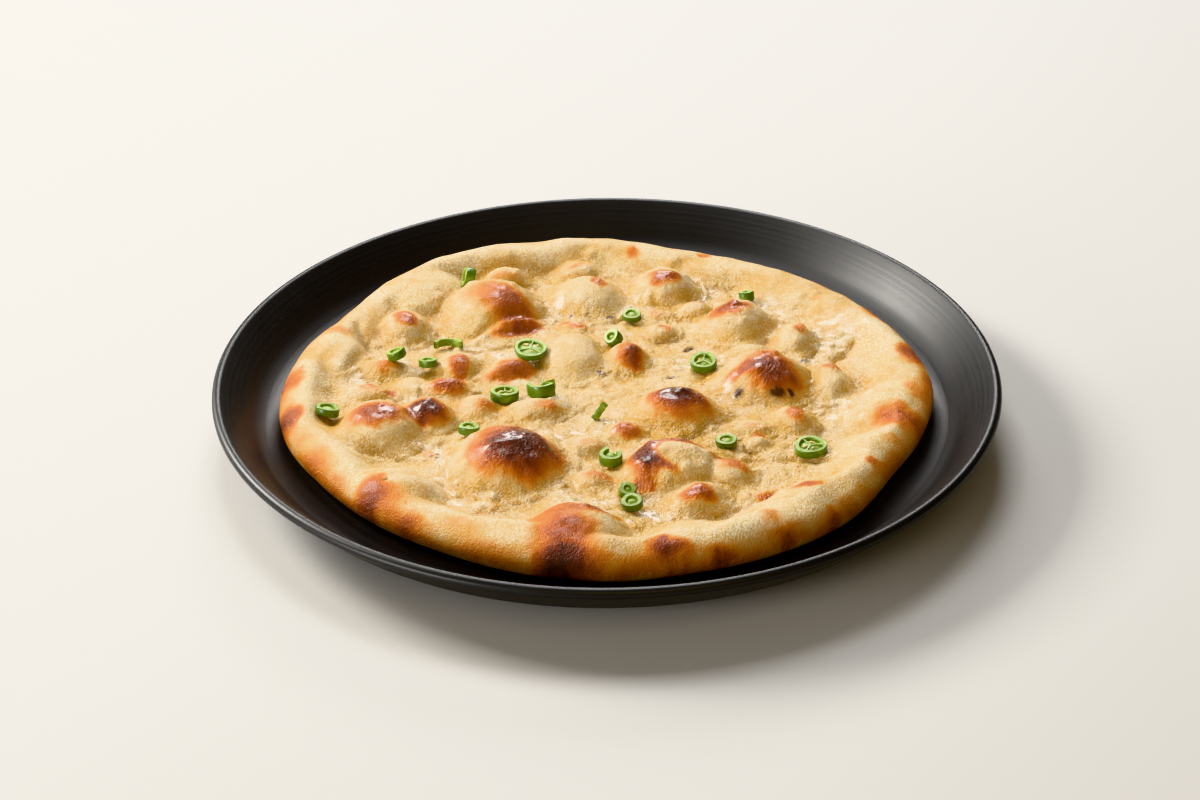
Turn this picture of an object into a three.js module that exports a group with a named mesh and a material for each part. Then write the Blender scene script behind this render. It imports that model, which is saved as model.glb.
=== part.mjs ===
// A round naan scattered with slices of green chilli, resting on a black coupe plate.
// Millimetres, +Z up. The origin is on the table, under the middle of the plate's foot ring.
// +X is to the right of a person at the table, and +Y is away from them.
import * as THREE from "three";

// Naan -----------------------------------------------------------------------------------------
const NAAN_RADIUS = 123; // mean radius of the edge
const CRUMB_RISE = 6; // thickness of the bread between its blisters
const RIM_RISE = 14; // mean thickness of the puffed rim
const RIM_CREST = 9; // how far the rim's crest reaches in from the edge
const RIM_WIDTH = 26; // how far the rim reaches in before it meets the crumb
const WAIST_RISE = 6; // height of the widest line of the edge
const TOP_ROLL = 13; // how far in the edge is rounded above the waist
const UNDER_ROLL = 8; // how far in the edge is rounded below the waist
const CREASE = 1.6; // softness of the crease where a blister meets the bread
const LAID_OUT_RADIUS = 123; // the naan radius at which the blisters and slices are laid out

// How much further than the mean radius the edge was pulled, every 15 degrees from +X.
const PULL = [
  2.5, 1, 0, 0, -2.5, -3.5, 0, 0.5, 3, 1, -2.5, 0,
  2, 1.7, -1.5, -2.5, -3, -1, 0.5, -0.5, 0, -0.4, -3.5, -0.7,
];
// How much thicker than the mean the rim puffed, every 30 degrees from +X.
const PUFF = [0.5, -1.5, -2, 0.5, 2.5, 1.5, 0, 0, 0, 1, 1, 0];

// Blisters: x, y of the middle, half the width, half the depth, turn in degrees, rise over the crumb.
const BLISTERS = [
  // the large domes
  [-46, 63, 22, 21, 0, 14],
  [-37, -53, 22, 21, 0, 14],
  [61, 5, 19, 18, 0, 12.5],
  [26, -18, 16, 13.5, 0, 11],
  [-86, -29, 17, 17, 0, 11],
  [24, 80, 14, 13, 0, 11],
  [24, -58, 18, 15, 0, 10],
  [53, 51, 15, 12, 20, 10],
  [-8, 74, 16, 17, 0, 9],
  // the bulges that swell out of the rim
  [-12, -102, 19, 19, 0, 11],
  [-77, -75, 20, 17, -30, 10],
  [-78, 76, 20, 24, -40, 10.5],
  [-107, 26, 14, 22, 12, 9],
  [107, -18, 15, 20, -10, 9],
  [70, -84, 26, 15, 42, 9],
  [-46, 107, 24, 14, 18, 10],
  // the middling domes
  [-81, 49, 11, 13, 0, 9],
  [-68, -20, 11, 10.5, 0, 8],
  [-13, 25, 13, 18, 0, 8],
  [8, 24, 9, 9, 20, 8],
  [-58, 18, 10, 9, 0, 7],
  [75, 38, 8, 11, 0, 6.5],
  [-37, 15, 12, 7.5, 15, 6.5],
  [32, -78, 13, 8, 25, 6.5],
  [-62, 1, 10, 7, 0, 6],
  [44, -62, 9, 10, 0, 6],
  [86, 4, 8, 14, 0, 6.5],
  [69, -25, 9, 9, 0, 6],
  [-49, -14, 9, 8, 0, 6],
  [-27, -16, 12, 8, 0, 6],
  // the small ones
  [-88, 17, 11, 7, 0, 5],
  [-92, -3, 11, 7, 0, 5],
  [-12, 97, 10, 8, 0, 6],
  [58, 27, 10, 6, 0, 5],
  [36, 63, 7, 7, 0, 5],
  [7, -32, 8, 6, 0, 5],
  [-42, 88, 11, 8, 0, 8],
  [-75, 3, 9, 7, 0, 4.5],
  [-6, -65, 8, 6, 0, 4.5],
  [-8, -41, 8, 6, 0, 4],
  [-44, 38, 14, 5, 15, 4],
  [21, 58, 8, 5, 0, 3.5],
  [23, 45, 7, 5, 0, 3.5],
  [53, -30, 10, 6, 0, 3.5],
  [-13, 50, 7, 5, 0, 3],
  [56, -40, 5, 4, 0, 3],
  [-44, -82, 6, 4, 0, 3],
];

// Green chilli slices: x, y, how far across, how thick, how far its upper cut face leans from level,
// which way that face looks (degrees from +X), its turn about its own axis, and its cut.
const SLICES = [
  [-56.5, 82, 8.4, 4, 72, 190, 0, "ring"],
  [-62.5, 38.5, 11.5, 3, 14, 90, 90, "half"],
  [-82, 19.6, 7.6, 3.2, 22, 150, 40, "ring"],
  [-69.5, 16.2, 7.2, 2.8, 14, 100, 10, "ring"],
  [-29.5, 22.8, 13.2, 2.3, 3, -60, 20, "chambered"],
  [10.5, 57.5, 7.8, 2.2, 5, -60, 0, "ring"],
  [3, 35, 6.8, 4.2, 40, -150, 30, "ring"],
  [38, 17.5, 10, 3.4, 14, -110, 70, "chambered"],
  [58, 72, 6.4, 3.8, 20, 110, 0, "ring"],
  [-39, -6.2, 10.6, 3.6, 8, 80, 15, "chambered"],
  [-27.5, -6.5, 12.4, 5, 12, 120, 200, "wedge"],
  [-2.5, -19.2, 8.4, 2.8, 60, 160, 0, "half"],
  [-51.5, -32, 7.6, 3, 10, 60, 0, "ring"],
  [44, -40.2, 7.8, 2.6, 2, -100, 30, "ring"],
  [75, -44, 12, 2.9, 1, -80, 85, "chambered"],
  [1.5, -53.5, 8.3, 3.9, 6, -90, 90, "open"],
  [7, -73.8, 6.3, 3, 18, -60, 0, "ring"],
  [8.5, -82.3, 7.4, 3.2, 12, -120, 50, "ring"],
  [-105, -21.5, 9.3, 3, 18, 50, 0, "ring"],
];
const FLESH = 1.9; // thickness of a slice's outer wall
const HUB_RADIUS = 1.3; // core that the ribs of a chambered slice meet in
const HALF_RIB = 0.32; // half the angle, in radians, that a rib takes up at the core
const OPEN_GAP = 0.6; // half the angle, in radians, of the gap in an open slice
const WEDGE_ANGLE = 2.5; // angle, in radians, that a wedge takes up
const CHAMBERS = 3;
const RING_STEPS = 8; // half the faces round a plain slice
const CHAMBER_STEPS = 5; // faces along each curve of a chambered slice

// Plate ----------------------------------------------------------------------------------------
const ROOM_ROUND_FOOT = 1; // level glaze that shows round the naan's underside
const PLATE_WALL = 4;
const PLATE_RISE = 25; // from the table to the top of the lip
const COVE_RADIUS = 24; // curve between the level well and the sloping wall
const WALL_SLOPE = Math.PI / 4;
const FOOT_RADIUS = 88; // outside of the foot ring
const FOOT_WIDTH = 7;
const FOOT_RISE = 3;

const TOUCHING_GAP = 0.3; // clearance between pieces that rest on each other
const AROUND = 96; // faces round the naan
const ROUND_PLATE = 72; // faces round the plate
const CURVE_STEPS = 4; // half the faces along each curve of the plate's outline
const STEPS_ACROSS = 23; // rings of faces from the naan's middle to the start of its rounded edge
const ROLL_STEPS = 5; // rings of faces over the rounded edge
const UNDER_STEPS = 3; // rings of faces below the waist
const RAY_HEIGHT = 200; // above everything

const WELL_Z = FOOT_RISE + PLATE_WALL;
const NAAN_Z = WELL_Z + TOUCHING_GAP;
const STRETCH = NAAN_RADIUS / LAID_OUT_RADIUS;
const degrees = THREE.MathUtils.degToRad;

// A value round a closed loop, smoothly through evenly spaced amounts.
function roundLoop(amounts, angle) {
  const turns = THREE.MathUtils.euclideanModulo(angle / (2 * Math.PI), 1) * amounts.length;
  const at = (k) => amounts[THREE.MathUtils.euclideanModulo(Math.floor(turns) + k, amounts.length)];
  const t = turns - Math.floor(turns);
  const curve = new THREE.CatmullRomCurve3(
    [-1, 0, 1, 2].map((k) => new THREE.Vector3(k, at(k), 0)), false, "catmullrom", 0.5);
  return curve.getPoint((1 + t) / 3).y;
}

const edgeRadius = (angle) => NAAN_RADIUS + roundLoop(PULL, angle);
const rimRise = (angle) => RIM_RISE + roundLoop(PUFF, angle);

// The larger of two heights, with the crease between them rounded.
function softMax(a, b) {
  const near = Math.max(CREASE - Math.abs(a - b), 0) / CREASE;
  return Math.max(a, b) + (near * near * CREASE) / 4;
}

// Height of a blister's dome over the naan's underside; it dives below the crumb outside its foot.
function domeRise([cx, cy, halfWidth, halfDepth, turn, rise], x, y) {
  const across = new THREE.Vector2(x - cx * STRETCH, y - cy * STRETCH);
  across.rotateAround(new THREE.Vector2(), -degrees(turn));
  const out = (across.x / halfWidth) ** 2 + (across.y / halfDepth) ** 2;
  return CRUMB_RISE + rise * (1 - Math.min(out, 2));
}

// Height of the naan's top over its underside.
function topRise(x, y) {
  const angle = Math.atan2(y, x);
  const inset = edgeRadius(angle) - Math.hypot(x, y);
  const downRim = THREE.MathUtils.smoothstep(inset, RIM_CREST, RIM_WIDTH);
  let rise = THREE.MathUtils.lerp(rimRise(angle), CRUMB_RISE, downRim);
  for (const blister of BLISTERS) rise = softMax(rise, domeRise(blister, x, y));
  const upRoll = THREE.MathUtils.clamp(1 - inset / TOP_ROLL, 0, 1);
  return THREE.MathUtils.lerp(WAIST_RISE, rise, Math.sqrt(1 - upRoll * upRoll));
}

// The naan: a turned disc whose edge follows the pull and whose top is raised to the blisters.
function naan() {
  const profile = [];
  const flatTop = NAAN_RADIUS - TOP_ROLL;
  for (let i = 0; i < STEPS_ACROSS; i++)
    profile.push(new THREE.Vector2((flatTop * i) / STEPS_ACROSS, WAIST_RISE));
  for (let i = 0; i <= ROLL_STEPS; i++) {
    const turn = (Math.PI / 2) * (i / ROLL_STEPS);
    profile.push(new THREE.Vector2(flatTop + TOP_ROLL * Math.sin(turn), WAIST_RISE));
  }
  const waist = profile.length - 1;
  for (let i = 1; i <= UNDER_STEPS; i++) {
    const turn = (Math.PI / 2) * (i / UNDER_STEPS);
    profile.push(new THREE.Vector2(
      NAAN_RADIUS - UNDER_ROLL * (1 - Math.cos(turn)), WAIST_RISE * (1 - Math.sin(turn))));
  }
  profile.push(new THREE.Vector2((NAAN_RADIUS - UNDER_ROLL) / 2, 0));
  profile.push(new THREE.Vector2(0, 0));

  const geometry = new THREE.LatheGeometry(profile.reverse(), AROUND).rotateX(Math.PI / 2);
  const points = geometry.getAttribute("position");
  const lastUnder = profile.length - 1 - waist;
  for (let i = 0; i < points.count; i++) {
    const pulled = edgeRadius(Math.atan2(points.getY(i), points.getX(i))) / NAAN_RADIUS;
    const x = points.getX(i) * pulled;
    const y = points.getY(i) * pulled;
    const onTop = i % profile.length > lastUnder;
    points.setXYZ(i, x, y, onTop ? topRise(x, y) : points.getZ(i));
  }
  const bread = new THREE.MeshStandardMaterial({ color: 0xe6bd74, roughness: 0.62 });
  const mesh = new THREE.Mesh(geometry, bread);
  mesh.name = "naan";
  mesh.position.z = NAAN_Z;
  return mesh;
}

// A part of a ring between two radii and two angles.
function ringPart(path, inner, outer, from, to) {
  path.absarc(0, 0, outer, from, to, false);
  path.absarc(0, 0, inner, to, from, true);
  path.closePath();
  return path;
}

// The outline of a slice as it was cut, with its seed chambers as holes.
function sliceShape(radius, cut) {
  const inner = radius - FLESH;
  if (cut === "half") return ringPart(new THREE.Shape(), inner, radius, 0, Math.PI);
  if (cut === "open")
    return ringPart(new THREE.Shape(), inner, radius, OPEN_GAP, 2 * Math.PI - OPEN_GAP);
  const shape = new THREE.Shape();
  if (cut === "wedge") {
    shape.absarc(0, 0, radius, 0, WEDGE_ANGLE, false);
    shape.closePath();
    return shape;
  }
  shape.absarc(0, 0, radius, 0, 2 * Math.PI, false);
  if (cut === "ring") {
    shape.holes.push(new THREE.Path().absarc(0, 0, inner, 0, 2 * Math.PI, true));
    return shape;
  }
  for (let i = 0; i < CHAMBERS; i++) {
    const from = (i * 2 * Math.PI) / CHAMBERS + HALF_RIB;
    const to = ((i + 1) * 2 * Math.PI) / CHAMBERS - HALF_RIB;
    shape.holes.push(ringPart(new THREE.Path(), HUB_RADIUS, inner, from, to));
  }
  return shape;
}

// How far a piece held above the naan can come down before it touches, tested both ways.
function dropOnto(piece, naanMesh) {
  const down = new THREE.Vector3(0, 0, -1);
  const ray = new THREE.Raycaster();
  const corner = new THREE.Vector3();
  const spots = [[piece, naanMesh, down], [naanMesh, piece, down.clone().negate()]];
  const box = new THREE.Box3().setFromObject(piece);
  let drop = Infinity;
  for (const [from, onto, way] of spots) {
    const points = from.geometry.getAttribute("position");
    for (let i = 0; i < points.count; i++) {
      corner.fromBufferAttribute(points, i).applyMatrix4(from.matrixWorld);
      if (corner.x < box.min.x || corner.x > box.max.x) continue;
      if (corner.y < box.min.y || corner.y > box.max.y) continue;
      ray.set(corner, way);
      const hit = ray.intersectObject(onto, false)[0];
      if (hit) drop = Math.min(drop, hit.distance);
    }
  }
  return drop;
}

// One slice of chilli, lowered onto the naan and left the touching gap above it.
function chilliSlice([x, y, across, thick, lean, facing, turn, cut], index, naanMesh) {
  const geometry = new THREE.ExtrudeGeometry(sliceShape(across / 2, cut), {
    depth: thick, bevelEnabled: false, curveSegments: cut === "chambered" ? CHAMBER_STEPS : RING_STEPS,
  });
  geometry.translate(0, 0, -thick / 2).rotateZ(degrees(turn));
  geometry.rotateY(degrees(lean)).rotateZ(degrees(facing));
  const skin = new THREE.MeshStandardMaterial({ color: 0x4c8a1e, roughness: 0.3 });
  const mesh = new THREE.Mesh(geometry, skin);
  mesh.name = "chilli_slice_" + String(index + 1).padStart(2, "0");
  mesh.position.set(x * STRETCH, y * STRETCH, RAY_HEIGHT);
  mesh.updateMatrixWorld(true);
  mesh.position.z -= dropOnto(mesh, naanMesh) - TOUCHING_GAP;
  return mesh;
}

// The plate: a turned dish with a level well, a cove, a sloping wall, a round lip and a foot ring.
function plate() {
  const lip = PLATE_WALL / 2;
  const coveStart = NAAN_RADIUS + Math.max(...PULL) - UNDER_ROLL + ROOM_ROUND_FOOT;
  const coveZ = WELL_Z + COVE_RADIUS;
  const level = -Math.PI / 2;
  const along = new THREE.Vector2(Math.cos(WALL_SLOPE), Math.sin(WALL_SLOPE));
  const outward = new THREE.Vector2(along.y, -along.x);
  const wallFoot = new THREE.Vector2(coveStart, coveZ).addScaledVector(outward, COVE_RADIUS);
  const wallTopZ = PLATE_RISE - lip - outward.y * lip;
  const wallTop = wallFoot.clone().addScaledVector(along, (wallTopZ - wallFoot.y) / along.y);
  const lipMiddle = wallTop.clone().addScaledVector(outward, lip);
  const backUp = WALL_SLOPE + Math.PI / 2;

  const outline = new THREE.Path();
  outline.moveTo(0, FOOT_RISE);
  outline.lineTo(FOOT_RADIUS - FOOT_WIDTH, FOOT_RISE);
  outline.lineTo(FOOT_RADIUS - FOOT_WIDTH, 0);
  outline.lineTo(FOOT_RADIUS, 0);
  outline.lineTo(FOOT_RADIUS, FOOT_RISE);
  outline.absarc(coveStart, coveZ, COVE_RADIUS + PLATE_WALL, level, level + WALL_SLOPE, false);
  outline.absarc(lipMiddle.x, lipMiddle.y, lip, backUp - Math.PI, backUp, false);
  outline.absarc(coveStart, coveZ, COVE_RADIUS, level + WALL_SLOPE, level, true);
  outline.lineTo(0, WELL_Z);

  const geometry = new THREE.LatheGeometry(outline.getPoints(CURVE_STEPS), ROUND_PLATE).rotateX(Math.PI / 2);
  const glaze = new THREE.MeshStandardMaterial({ color: 0x17171a, roughness: 0.42 });
  const mesh = new THREE.Mesh(geometry, glaze);
  mesh.name = "plate";
  return mesh;
}

const served = new THREE.Group();
const naanMesh = naan();
naanMesh.updateMatrixWorld(true);
served.add(plate(), naanMesh);
SLICES.forEach((slice, index) => {
  const piece = chilliSlice(slice, index, naanMesh);
  served.add(piece);
});

export default served;
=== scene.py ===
"""The looks of a round naan, scattered with slices of green chilli, on a black coupe plate.

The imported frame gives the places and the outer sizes. Sizes here are in millimetres until a mesh is
set down, and in metres after that.
"""

import logging
import math
import random
from dataclasses import dataclass, field
from enum import Enum
from typing import Dict, List, Optional, Sequence, Tuple, Union

import bpy
import numpy
from mathutils import Matrix, Vector, noise
from mathutils.bvhtree import BVHTree


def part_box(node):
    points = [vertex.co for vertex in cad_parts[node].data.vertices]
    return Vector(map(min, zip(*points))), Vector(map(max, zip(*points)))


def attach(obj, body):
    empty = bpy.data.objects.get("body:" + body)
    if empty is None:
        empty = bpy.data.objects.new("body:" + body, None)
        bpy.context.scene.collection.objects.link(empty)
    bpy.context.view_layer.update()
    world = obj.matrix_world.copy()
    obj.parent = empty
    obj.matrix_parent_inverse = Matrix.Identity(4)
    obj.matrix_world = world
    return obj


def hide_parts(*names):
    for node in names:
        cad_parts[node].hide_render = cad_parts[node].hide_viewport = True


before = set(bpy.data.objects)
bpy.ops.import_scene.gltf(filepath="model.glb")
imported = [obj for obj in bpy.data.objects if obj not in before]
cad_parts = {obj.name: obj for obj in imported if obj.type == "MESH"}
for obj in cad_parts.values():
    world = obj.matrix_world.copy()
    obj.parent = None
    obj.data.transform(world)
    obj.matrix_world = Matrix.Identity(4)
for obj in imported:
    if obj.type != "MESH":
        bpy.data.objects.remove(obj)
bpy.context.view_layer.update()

MM = 0.001
BODY = "root"
WARP_SEED = 11  # noise_vector follows the clock unless it is given a seed
LOG = logging.getLogger("naan")
Colour = Tuple[float, float, float, float]
Number = Union[float, "Value"]


# Arithmetic -----------------------------------------------------------------------------------
def blend(low: float, high: float, share: float) -> float:
    """The amount a share of the way from low to high."""
    return low + (high - low) * share


def ease(value: float, start: float, end: float) -> float:
    """Rises smoothly from 0 at start to 1 at end, which may be the lower of the two."""
    share = min(max((value - start) / (end - start), 0.0), 1.0)
    return share * share * (3.0 - 2.0 * share)


def round_loop(amounts: Sequence[float], angle: float) -> float:
    """Reads a value off a closed loop of evenly spaced amounts, smoothly.

    Args:
        amounts: the amounts, evenly spaced from angle 0.
        angle: where to read, in radians.

    Returns:
        The amount there.
    """
    turns = (angle / (2 * math.pi)) % 1.0 * len(amounts)
    first = int(turns)
    share = turns - first
    before, here, after, beyond = (amounts[(first + k) % len(amounts)] for k in (-1, 0, 1, 2))
    slope_here, slope_after = (after - before) / 2, (beyond - here) / 2
    square, cube = share * share, share ** 3
    return ((2 * cube - 3 * square + 1) * here + (cube - 2 * square + share) * slope_here
            + (3 * square - 2 * cube) * after + (cube - square) * slope_after)


def ripple(x: float, y: float, size: float, layer: float) -> float:
    """Smooth noise from -1 to 1 with bumps about size across; each layer is its own pattern."""
    return noise.noise(Vector((x / size, y / size, layer)))


# Materials ------------------------------------------------------------------------------------
class Value:
    """A number that changes over a surface: a socket that sums can be written on."""

    def __init__(self, graph: "Graph", socket: bpy.types.NodeSocket) -> None:
        """Holds a socket of a graph."""
        self.graph = graph
        self.socket = socket

    def _maths(self, operation: str, *terms: Number) -> "Value":
        """Adds a Math node on the terms."""
        return self.graph.add("ShaderNodeMath", {"operation": operation}, list(terms))

    def __add__(self, other: Number) -> "Value":
        """self + other."""
        return self._maths("ADD", self, other)

    def __sub__(self, other: Number) -> "Value":
        """self - other."""
        return self._maths("SUBTRACT", self, other)

    def __rsub__(self, other: Number) -> "Value":
        """other - self."""
        return self._maths("SUBTRACT", other, self)

    def __mul__(self, other: Number) -> "Value":
        """self * other."""
        return self._maths("MULTIPLY", self, other)

    def __pow__(self, other: Number) -> "Value":
        """self ** other."""
        return self._maths("POWER", self, other)

    __radd__ = __add__
    __rmul__ = __mul__

    def at_least(self, other: Number) -> "Value":
        """The larger of self and other."""
        return self._maths("MAXIMUM", self, other)

    def at_most(self, other: Number) -> "Value":
        """The smaller of self and other."""
        return self._maths("MINIMUM", self, other)

    def folded(self) -> "Value":
        """Turns cloudy noise, which lies about a half, into creases on smooth ground."""
        return self._maths("ABSOLUTE", self * 2.0 - 1.0).eased(0.0, 0.30)

    def eased(self, start: float, end: float) -> "Value":
        """Rises smoothly from 0 where self is start to 1 where it is end."""
        settings = {"interpolation_type": "SMOOTHSTEP"}
        if start <= end:
            return self.graph.add("ShaderNodeMapRange", settings, [self, start, end, 0.0, 1.0])
        return self.graph.add("ShaderNodeMapRange", settings, [self, end, start, 1.0, 0.0])


class Graph:
    """A material's node tree."""

    def __init__(self, name: str) -> None:
        """Starts an empty material with a principled surface."""
        self.material = bpy.data.materials.new(name)
        self.material.use_nodes = True
        self.tree = self.material.node_tree
        self.tree.nodes.clear()
        self.surface = self.tree.nodes.new("ShaderNodeBsdfPrincipled")
        output = self.tree.nodes.new("ShaderNodeOutputMaterial")
        self.tree.links.new(self.surface.outputs[0], output.inputs["Surface"])
        self.place = self.add("ShaderNodeTexCoord", output="Object")

    def add(
        self,
        kind: str,
        settings: Optional[Dict[str, object]] = None,
        inputs: Union[Sequence[object], Dict[str, object], None] = None,
        output: Union[int, str] = 0,
    ) -> Value:
        """Adds one node.

        Args:
            kind: the node's type.
            settings: its properties, and "stops" for a ramp's (place, colour) pairs.
            inputs: values or links for its sockets, in order or by name; None leaves one alone.
            output: the socket to hand back.

        Returns:
            The output, as a Value.
        """
        node = self.tree.nodes.new(kind)
        for key, setting in (settings or {}).items():
            if key == "stops":
                self._stops(node.color_ramp, setting)
            else:
                setattr(node, key, setting)
        pairs = inputs.items() if isinstance(inputs, dict) else enumerate(inputs or [])
        for key, given in pairs:
            if isinstance(given, Value):
                self.tree.links.new(given.socket, node.inputs[key])
            elif given is not None:
                node.inputs[key].default_value = given
        return Value(self, node.outputs[output])

    @staticmethod
    def _stops(ramp: bpy.types.ColorRamp, stops: Sequence[Tuple[float, Colour]]) -> None:
        """Sets a ramp's stops."""
        while len(ramp.elements) < len(stops):
            ramp.elements.new(1.0)
        for element, (place, colour) in zip(ramp.elements, stops):
            element.position = place
            element.color = colour

    def grain(self, size: float, detail: float = 2.0, rough: float = 0.5,
              warp: float = 0.0, place: Optional[Value] = None) -> Value:
        """Cloudy noise with lumps about size metres across."""
        inputs = {"Vector": place or self.place, "Scale": 1.0 / size, "Detail": detail,
                  "Roughness": rough, "Distortion": warp}
        return self.add("ShaderNodeTexNoise", None, inputs)

    def cells(self, size: float) -> Value:
        """Distance to the nearest of the points scattered about size metres apart."""
        inputs = {"Vector": self.place, "Scale": 1.0 / size}
        return self.add("ShaderNodeTexVoronoi", {"feature": "F1"}, inputs, "Distance")

    def attribute(self, name: str) -> Value:
        """A number painted on the mesh."""
        return self.add("ShaderNodeAttribute", {"attribute_name": name}, None, "Fac")

    def colours(self, share: Number, low: object, high: object) -> Value:
        """Mixes two colours."""
        settings = {"data_type": "RGBA", "blend_type": "MIX"}
        return self.add("ShaderNodeMix", settings, {0: share, 6: low, 7: high}, 2)

    def ramp(self, share: Value, stops: Sequence[Tuple[float, Colour]]) -> Value:
        """Reads a colour off a ramp."""
        return self.add("ShaderNodeValToRGB", {"stops": stops}, [share])

    def bump(self, height: Value, depth: float, strength: float = 1.0) -> Value:
        """A bumped normal; depth is the height in metres of one unit."""
        inputs = {"Strength": strength, "Distance": depth, "Height": height}
        return self.add("ShaderNodeBump", None, inputs)

    def finish(self, **sockets: object) -> bpy.types.Material:
        """Sets the surface's sockets, with _ for a space in their names."""
        for key, given in sockets.items():
            socket = self.surface.inputs[key.replace("_", " ")]
            if isinstance(given, Value):
                self.tree.links.new(given.socket, socket)
            else:
                socket.default_value = given
        return self.material


@dataclass(frozen=True)
class Bread:
    """Baked naan: cream crumb, butter and painted shade in the hollows, painted light on proud tops
    and glazes, browned and charred blisters, dry flour.
    """

    cream: Colour = (0.68, 0.500, 0.235, 1)
    gold: Colour = (0.56, 0.315, 0.064, 1)
    butter: Colour = (0.62, 0.385, 0.098, 1)
    # Darker golden for hollows: pooled butter, and painted shade.
    butter_and_hollow_shade: Colour = (0.53, 0.285, 0.036, 1)
    flour: Colour = (0.85, 0.740, 0.52, 1)
    ash: Colour = (0.085, 0.030, 0.012, 1)
    crust: Tuple[Tuple[float, Colour], ...] = (
        (0.00, (0.76, 0.46, 0.110, 1)),
        (0.20, (0.70, 0.305, 0.036, 1)),
        (0.40, (0.55, 0.160, 0.011, 1)),
        (0.60, (0.34, 0.070, 0.005, 1)),
        (0.80, (0.155, 0.025, 0.003, 1)),
        (1.00, (0.048, 0.009, 0.003, 1)),
    )

    def material(self) -> bpy.types.Material:
        """Builds the material."""
        g = Graph("baked_naan")
        brown = g.attribute("browning")
        char = g.attribute("char")
        wet = g.attribute("wet")
        dry = g.attribute("dry")
        hollow = g.attribute("hollow")
        glaze = g.attribute("glaze")

        mottle = g.grain(0.024, 3.0, 0.6)
        blotch = g.grain(0.0065, 3.0, 0.62, 0.6)
        speck = g.grain(0.0008, 2.0, 0.6)
        edge = g.grain(0.0034, 4.0, 0.68, 0.4)

        crumb = g.colours((mottle + (edge - 0.5) * 0.35).eased(0.42, 0.60) * 0.85,
                          self.cream, self.gold)
        crumb = g.colours(blotch.eased(0.46, 0.74) * 0.45, crumb, self.gold)
        soaked = g.colours((wet * blotch.eased(0.34, 0.60) * 0.85).at_most(1.0), crumb, self.butter)
        # Painted shade: hollows in the surface take the darker golden of pooled butter.
        butter_and_hollow_shade = g.colours((hollow + (blotch - 0.5) * 0.5).eased(0.05, 0.85) * 0.85,
                           soaked, self.butter_and_hollow_shade)
        patchy = g.grain(0.013, 4.0, 0.62, 0.5).eased(0.50, 0.62)
        # Painted light: proud places and the butter glazes go paler towards the flour colour; on the
        # dry rim the flour is real dust.
        flour_and_painted_light = (dry * speck.eased(0.44, 0.60) * mottle.eased(0.60, 0.34)
                   + (0.0 - hollow).eased(0.1, 0.8) * 0.45
                   + patchy * 0.32 + glaze * 0.6).at_most(1.0)
        floured_and_lit = g.colours(flour_and_painted_light * 0.75, butter_and_hollow_shade, self.flour)
        floured_and_lit = g.colours(speck.eased(0.54, 0.36) * 0.45, floured_and_lit, self.gold)
        floured_and_lit = g.colours(speck.eased(0.52, 0.66) * 0.40, floured_and_lit, self.flour)

        freckle = g.cells(0.0055).eased(0.26, 0.04) * g.grain(0.016, 1.0).eased(0.52, 0.72)
        toast = brown + (edge - 0.5) * (brown * 0.6 + 0.05) + freckle * 0.13
        toast = toast + (speck - 0.5) * brown * 0.14
        toast = toast.at_least(0.0).at_most(1.0)
        crust = g.ramp(toast, self.crust)
        shown = g.colours(toast.eased(0.03, 0.38), floured_and_lit, crust)
        burnt = g.colours((char * 1.4 * edge.eased(0.30, 0.52)).at_most(1.0), shown, self.ash)

        seared = toast.eased(0.42, 0.70) * (1.0 - dry * 0.85)
        gloss = wet.eased(0.25, 0.85).at_least(toast.eased(0.18, 0.55) * (1.0 - dry * 0.75))
        gloss = gloss.at_least(glaze)
        roughness = 0.58 - gloss * 0.32 + (speck - 0.5) * 0.22
        coat = seared * 0.95 + glaze * 0.9 + wet * blotch.eased(0.40, 0.56) * 0.25

        pores = g.cells(0.0017).eased(0.04, 0.30)
        wrinkle = g.grain(0.0062, 3.0, 0.55, 0.9).folded()
        crepe = g.grain(0.0028, 2.0, 0.6, 0.6).folded()
        damp = (wet * 0.8).at_least(brown * 0.45)
        lumps = g.grain(0.0036, 2.0, 0.55, 1.2)
        glazed = wet * mottle.eased(0.46, 0.60) * (1.0 - brown)
        height = (speck * (1.35 - dry * 0.55) + pores * 0.2
                  + wrinkle * damp * 0.45 + crepe * damp * 0.2
                  + lumps * (brown * 2.0 + glazed * 2.6 + 0.15)
                  + edge * (wet * 0.6 + 0.3) + g.grain(0.0005, 1.0) * (dry * 0.3 + 0.5))
        return g.finish(
            Base_Color=burnt,
            Roughness=roughness.at_least(0.12).at_most(0.95),
            Coat_Weight=coat.at_most(1.0),
            Coat_Roughness=0.15,
            Coat_IOR=1.46,
            IOR=1.41,
            Subsurface_Weight=0.26,
            Subsurface_Radius=(1.0, 0.56, 0.16),
            Subsurface_Scale=0.0034,
            Normal=g.bump(height, 0.00036, 1.0),
        )


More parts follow.
